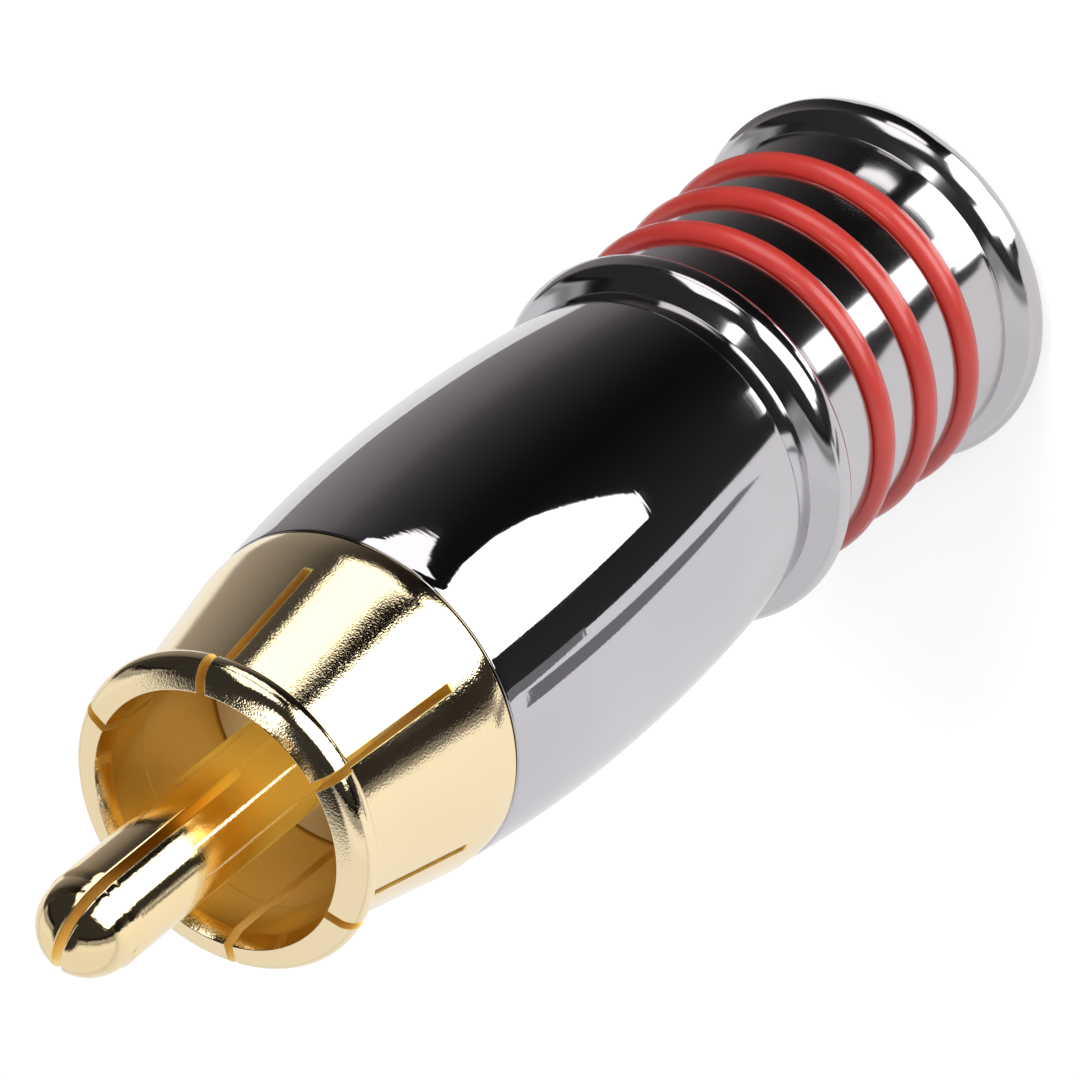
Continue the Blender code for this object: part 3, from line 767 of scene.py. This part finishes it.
shell += arc(BEAD_CENTRE, BEAD_TOP - BEAD_HALF, BEAD_HALF, SHOULDER, -bead_end, 26)
for height in reversed(RING_HEIGHTS):
    shell += [(TUBE, height + GROOVE_HALF, 0.05), (GROOVE, height + GROOVE_HALF, 0.05)]
    shell += [(GROOVE, height - GROOVE_HALF, 0.05), (TUBE, height - GROOVE_HALF, 0.05)]
shell += [(TUBE, cone_meets(TUBE, FLANGE_CENTRE, FLANGE_HALF, FLANGE_HALF), 0.05)]
shell += arc(FLANGE_CENTRE, FLANGE_HALF, FLANGE_HALF, SHOULDER, -90, 30)
shell += [(CABLE_BORE + ENTRY_ROUND, 0.0, 0)]
shell += arc(CABLE_BORE + ENTRY_ROUND, ENTRY_ROUND, ENTRY_ROUND, 261, 180, 9)
shell += [(CABLE_BORE, CAVITY_FLOOR, 0.05), (REAR_CAVITY, CAVITY_FLOOR, 0.05)]
shell += [(REAR_CAVITY, BEAD_TOP, 0.05), (BORE, BEAD_TOP, 0.05), (BORE, BARREL_TOP - 0.22, 0.02)]
barrel = turned("barrel_shell", fillet(shell[::-1]), CHROME, segments=224)
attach(barrel, "barrel_body")
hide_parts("barrel")

# ---------------------------------------------------------------- channel rings
# Rings: three O-rings of red rubber, stretched over the tube into their grooves. Their colour
# tells the channel.
RED = soft_finish("red_rubber", (0.37, 0.018, 0.012), (0.42, 0.025, 0.016), 0.3, 0.0015, (0.34, 0.48), 0.8)
RING = 0.45
RING_CENTRE = 5.475
stacking, given, made = node_tree("set_along_the_axis", [("Count", "Int"), ("Pitch", "Float"),
                                                        ("Material", "Material")])
row = stacking.nodes.new("GeometryNodeMeshLine")
offset = stacking.nodes.new("ShaderNodeCombineXYZ")
copies = stacking.nodes.new("GeometryNodeInstanceOnPoints")
for source, target in (
        (given.outputs["Count"], row.inputs["Count"]), (given.outputs["Pitch"], offset.inputs["Z"]),
        (offset.outputs[0], row.inputs["Offset"]), (row.outputs[0], copies.inputs["Points"]),
        (given.outputs["Geometry"], copies.inputs["Instance"])):
    stacking.links.new(source, target)
end_tree(stacking, copies.outputs[0], given, made)

ring_section = [(r, z) for r, z, _ in arc(RING_CENTRE, RING_HEIGHTS[0], RING, 90, 450, 44)][:-1]
rings = turned("channel_rings", ring_section, RED, segments=AROUND)
set_inputs(rings, stacking, {"Count": 3, "Pitch": (RING_HEIGHTS[1] - RING_HEIGHTS[0]) * MM, "Material": RED})
rings = plain_mesh(rings)
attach(rings, "barrel_body")
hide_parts("coding_ring_rear", "coding_ring_middle", "coding_ring_front")

# ---------------------------------------------------------------- studio
# A pale floor, a pale room with a dark side, soft boxes, and flags and panels near the plug that
# only its polished metal sees.
CAMERA_AZIMUTH = -105.5
scene = bpy.context.scene
scene.view_settings.view_transform = "Standard"


def studio_point(azimuth, distance, height):
    """A point in mm, by its azimuth from the camera's side of the plug."""
    angle = math.radians(azimuth + CAMERA_AZIMUTH)
    return Vector((distance * math.cos(angle), distance * math.sin(angle), height)) * MM


floor_mesh = bpy.data.meshes.new("floor")
floor_mesh.from_pydata([(-3, -3, 0), (3, -3, 0), (3, 3, 0), (-3, 3, 0)], [], [(0, 1, 2, 3)])
floor = added("floor", floor_mesh)
paper = bpy.data.materials.new("white_paper")
paper.use_nodes = True
tree = paper.node_tree
shader = tree.nodes["Principled BSDF"]
shader.inputs["Base Color"].default_value = (0.62, 0.62, 0.62, 1.0)
shader.inputs["Roughness"].default_value = 0.9
shader.inputs["Specular IOR Level"].default_value = 0.0
shader.inputs["Emission Color"].default_value = (1.0, 1.0, 1.0, 1.0)
rays = tree.nodes.new("ShaderNodeLightPath")
mirrored = calculate(tree, "MULTIPLY", calculate(tree, "MAXIMUM", rays.outputs["Is Glossy Ray"],
                                                rays.outputs["Is Transmission Ray"]), 0.30)
seen = calculate(tree, "MULTIPLY", rays.outputs["Is Camera Ray"], 0.50)
tree.links.new(calculate(tree, "ADD", seen, mirrored), shader.inputs["Emission Strength"])
floor_mesh.materials.append(paper)


def glow(name, colour, strength):
    """A card's even light."""
    material = bpy.data.materials.new(name)
    material.use_nodes = True
    tree = material.node_tree
    tree.nodes.remove(tree.nodes["Principled BSDF"])
    shine = tree.nodes.new("ShaderNodeEmission")
    shine.inputs["Color"].default_value = (*colour, 1.0)
    shine.inputs["Strength"].default_value = strength
    tree.links.new(shine.outputs[0], tree.nodes["Material Output"].inputs["Surface"])
    return material


def panel(name, corners, faces, material):
    """A card with its corners at (towards the camera, across, up) in mm, seen only in the metal."""
    turn = Matrix.Rotation(math.radians(CAMERA_AZIMUTH), 3, "Z")
    mesh = bpy.data.meshes.new(name)
    mesh.from_pydata([turn @ Vector(corner) * MM for corner in corners], [], faces)
    mesh.materials.append(material)
    obj = added(name, mesh)
    obj.visible_camera = False
    obj.visible_diffuse = False
    obj.visible_shadow = False
    obj.visible_transmission = False


def card(name, outline, height, material):
    """A flat card over the floor."""
    panel(name, [(x, y, height) for x, y in outline], [range(len(outline))], material)


def standing_card(name, line, heights, material):
    """A thin card that stands along a line: heights are its lower and upper edge at each point."""
    corners = [(x, y, low) for (x, y), (low, high) in zip(line, heights)]
    corners += [(x, y, high) for (x, y), (low, high) in zip(line, heights)]
    count = len(line)
    panel(name, corners, [(i, i + 1, count + i + 1, count + i) for i in range(count - 1)], material)


def polar(*pairs):
    """Corners given by their azimuth and distance from the plug's axis."""
    return [(d * math.cos(math.radians(a)), d * math.sin(math.radians(a))) for a, d in pairs]


# the black cloth is darkest on the camera's side of the plug, and paler round towards the back
BLACK = glow("black_cloth", (1.0, 0.93, 0.93), 0.016)
shade = BLACK.node_tree
place = shade.nodes.new("ShaderNodeTexCoord")
round_axis = shade.nodes.new("ShaderNodeVectorRotate")
round_axis.rotation_type = "Z_AXIS"
round_axis.inputs["Angle"].default_value = math.radians(-CAMERA_AZIMUTH)
shade.links.new(place.outputs["Object"], round_axis.inputs["Vector"])
apart = shade.nodes.new("ShaderNodeSeparateXYZ")
shade.links.new(round_axis.outputs[0], apart.inputs[0])
azimuth = calculate(shade, "ARCTAN2", apart.outputs["Y"], apart.outputs["X"])
fading = shade.nodes.new("ShaderNodeFloatCurve")
curve = fading.mapping.curves[0]
for azimuth_share, level in ((0.0, 0.015), (0.33, 0.035), (0.42, 0.085), (0.50, 0.18), (0.60, 0.265), (0.70, 0.33),
                             (1.0, 0.40)):
    if azimuth_share in (0.0, 1.0):
        curve.points[0 if azimuth_share == 0.0 else -1].location = (azimuth_share, level)
    else:
        curve.points.new(azimuth_share, level)
fading.mapping.update()
shade.links.new(calculate(shade, "DIVIDE", azimuth, math.pi), fading.inputs["Value"])
across = shade.nodes.new("ShaderNodeVectorMath")
across.operation = "LENGTH"
shade.links.new(place.outputs["Object"], across.inputs[0])
nearness = spread(shade, across.outputs["Value"], 55 * MM, 150 * MM, 1.0, 0.15)
shade.links.new(calculate(shade, "MULTIPLY", fading.outputs[0], nearness), shade.nodes["Emission"].inputs["Strength"])
GREY = glow("grey_card", (1.0, 0.97, 1.0), 0.24)
BOX = glow("soft_box", (1.0, 1.0, 1.0), 3.0)
SIDE = glow("side_box", (1.0, 0.99, 0.98), 1.75)
dark_edge = [(-26, 8), (-33, 13), (-38, 20), (-43, 30), (-46, 45), (-48, 58), (-49, 80), (-50, 2900)]
far_edge = [(-40, 2900), (0, 2900), (40, 2900), (80, 2900), (120, 2900), (136, 2900)]
pale_edge = [(136, 58), (130, 44), (127, 34), (121, 24), (114, 16), (110, 10), (104, 6.6)]
near_edge = [(80, 6.6), (50, 6.6), (20, 6.6), (0, 6.6), (-14, 6.6)]
card("black_flag", polar(*dark_edge, *far_edge, *pale_edge, *near_edge), 0.03, BLACK)
card("grey_streak", [(10.8, -11.0), (12.6, -12.4), (31, -41), (25, -45)], 0.10, GREY)
card("grey_edge", [(28, -27), (36, -37), (60, -62), (52, -66), (32, -40), (26, -29)], 0.12, GREY)
card("main_box_foot", [(24, -9.5), (25, -4), (28, 0), (32, 5), (36, 10.5), (41, 15), (48, 17.5), (57, 16),
                       (68, 20), (82, 30), (285, 104), (340, 0), (285, -150), (75, -38), (67, -34), (52, -27),
                       (38, -18.5)], 0.20, BOX)
card("side_box_foot", [(38, 31), (43, 30.5), (51, 28), (57, 24), (62, 36), (66, 46), (150, 105), (70, 150), (33, 74),
                       (28, 62), (23, 52), (27, 45), (32, 37)], 0.20, SIDE)
card("main_box_toe", polar((-4, 7.0), (-5, 13.2), (-21, 13.2), (-16.5, 7.0)), 0.22, BOX)
standing_card("tube_strip", polar((-18.4, 10.0), (-11.5, 10.0), (-4.6, 10.0)), [(3.0, 6.0)] * 3, BOX)
card("flange_card", polar((-18, 6.55), (-2, 6.55), (13.5, 6.55), (15, 8.0), (-3, 8.0), (-21, 8.0)), 0.24, BOX)
standing_card("flange_strip", polar((-21, 8.0), (-3, 8.0), (15, 8.0)), [(0.24, 1.0)] * 3, BOX)
standing_card("flange_spot", polar((23, 8.0), (31, 8.0), (39, 8.0)), [(0.5, 1.0), (0.24, 1.0), (0.5, 1.0)], SIDE)
card("overhead_strip", [(200, 134), (57, 108), (-196, 44), (-345, 9), (-345, -9), (-196, 20), (57, 66), (200, 102)],
     400, BOX)


def facing(azimuth, corners):
    """Corners (azimuth, height) on the upright plane that faces the plug 320 mm from it."""
    found = []
    for a, height in corners:
        d = 320 / math.cos(math.radians(a - azimuth))
        found.append((d * math.cos(math.radians(a)), d * math.sin(math.radians(a)), height))
    return found


panel("main_box_face", facing(-5, [(-31, 0), (-32, 128), (12, 188), (17, 60), (19, 0)]), [range(5)], BOX)
panel("side_box_face", facing(47, [(30, 0), (28, 20), (28, 118), (56, 244), (60, 118), (66, 24), (66, 0)]), [range(7)],
      SIDE)


def lamp(name, azimuth, distance, height, width, tall, power):
    """A soft lamp aimed at the plug. Metal sees the cards in its place."""
    light = bpy.data.lights.new(name, "AREA")
    light.shape = "RECTANGLE"
    light.size = width * MM
    light.size_y = tall * MM
    light.energy = power
    obj = added(name, light)
    obj.location = studio_point(azimuth, distance, height)
    aim = Vector((0.0, 0.0, 0.02)) - obj.location
    obj.rotation_euler = aim.to_track_quat("-Z", "Y").to_euler()
    obj.visible_glossy = False


lamp("main_lamp", -7, 320, 86, 250, 172, 0.9)
lamp("side_lamp", 45, 320, 104, 178, 208, 0.55)
lamp("top_lamp", 52, 130, 400, 90, 60, 0.30)

# the room: white for the camera, pale for soft light, and for metal a pale wall with a dark side
world = bpy.data.worlds.new("studio")
scene.world = world
world.use_nodes = True
tree = world.node_tree
background = tree.nodes["Background"]
place = tree.nodes.new("ShaderNodeTexCoord")
towards = tree.nodes.new("ShaderNodeVectorMath")
towards.operation = "DOT_PRODUCT"
towards.inputs[1].default_value = studio_point(-144, 1 / MM, 0.0)
tree.links.new(place.outputs["Generated"], towards.inputs[0])
above = tree.nodes.new("ShaderNodeVectorMath")
above.operation = "DOT_PRODUCT"
above.inputs[1].default_value = studio_point(-55.7, 0.266 / MM, -1.0 / MM)
tree.links.new(place.outputs["Generated"], above.inputs[0])
wall = tree.nodes.new("ShaderNodeFloatCurve")
curve = wall.mapping.curves[0]
curve.points[0].location = (0.0, 0.0)
curve.points[1].location = (1.0, 0.82)
for share, level in ((0.20, 0.0), (0.24, 0.42), (0.32, 0.42), (0.36, 0.28), (0.45, 0.32), (0.56, 0.82)):
    curve.points.new(share, level)
wall.mapping.update()
tree.links.new(spread(tree, towards.outputs["Value"], -0.16, 0.44, 0.0, 1.0), wall.inputs["Value"])
ceiling_end = spread(tree, above.outputs["Value"], -0.92, -0.86, 0.0, 1.0)
room = calculate(tree, "MULTIPLY", wall.outputs[0], ceiling_end)
room = calculate(tree, "ADD", room, 0.03)
rays = tree.nodes.new("ShaderNodeLightPath")
plain = tree.nodes.new("ShaderNodeMix")
plain.inputs["A"].default_value = 0.62
tree.links.new(rays.outputs["Is Glossy Ray"], plain.inputs["Factor"])
tree.links.new(room, plain.inputs["B"])
seen = tree.nodes.new("ShaderNodeMix")
seen.inputs["B"].default_value = 1.0
tree.links.new(rays.outputs["Is Camera Ray"], seen.inputs["Factor"])
tree.links.new(plain.outputs["Result"], seen.inputs["A"])
tree.links.new(seen.outputs["Result"], background.inputs["Strength"])
background.inputs["Color"].default_value = (1.0, 1.0, 1.0, 1.0)

# camera: a long lens above the plug's side, turned so that the pin points down and left
SENSOR = 36.0
FOCAL = 10010.0 / 1080.0 * SENSOR
MARK_HEIGHT = 35.77
axis_point = Vector((-8.9978, 7.7742, 290.0162))
lean, swing = 0.7986, 2.4518
axis = Vector((math.sin(lean) * math.cos(swing), math.sin(lean) * math.sin(swing), -math.cos(lean)))
towards_lens = -axis_point.normalized()
near = (towards_lens - towards_lens.dot(axis) * axis).normalized()
side = axis.cross(near)
turn = math.radians(CAMERA_AZIMUTH)
world_x = math.cos(turn) * near - math.sin(turn) * side
world_y = math.sin(turn) * near + math.cos(turn) * side
origin = axis_point - MARK_HEIGHT * axis


def to_world(vector):
    """A direction or point of the camera's frame, in the plug's."""
    return Vector((vector.dot(world_x), vector.dot(world_y), vector.dot(axis)))


camera_data = bpy.data.cameras.new("camera")
camera_data.lens = FOCAL
camera_data.sensor_width = SENSOR
camera_data.sensor_fit = "HORIZONTAL"
camera_data.clip_start = 0.01
camera_data.clip_end = 20.0
camera = added("camera", camera_data)
right, up, back = to_world(Vector((1, 0, 0))), to_world(Vector((0, -1, 0))), to_world(Vector((0, 0, -1)))
frame_matrix = Matrix((right, up, back)).transposed().to_4x4()
frame_matrix.translation = to_world(-origin) * MM
camera.matrix_world = frame_matrix
scene.camera = camera
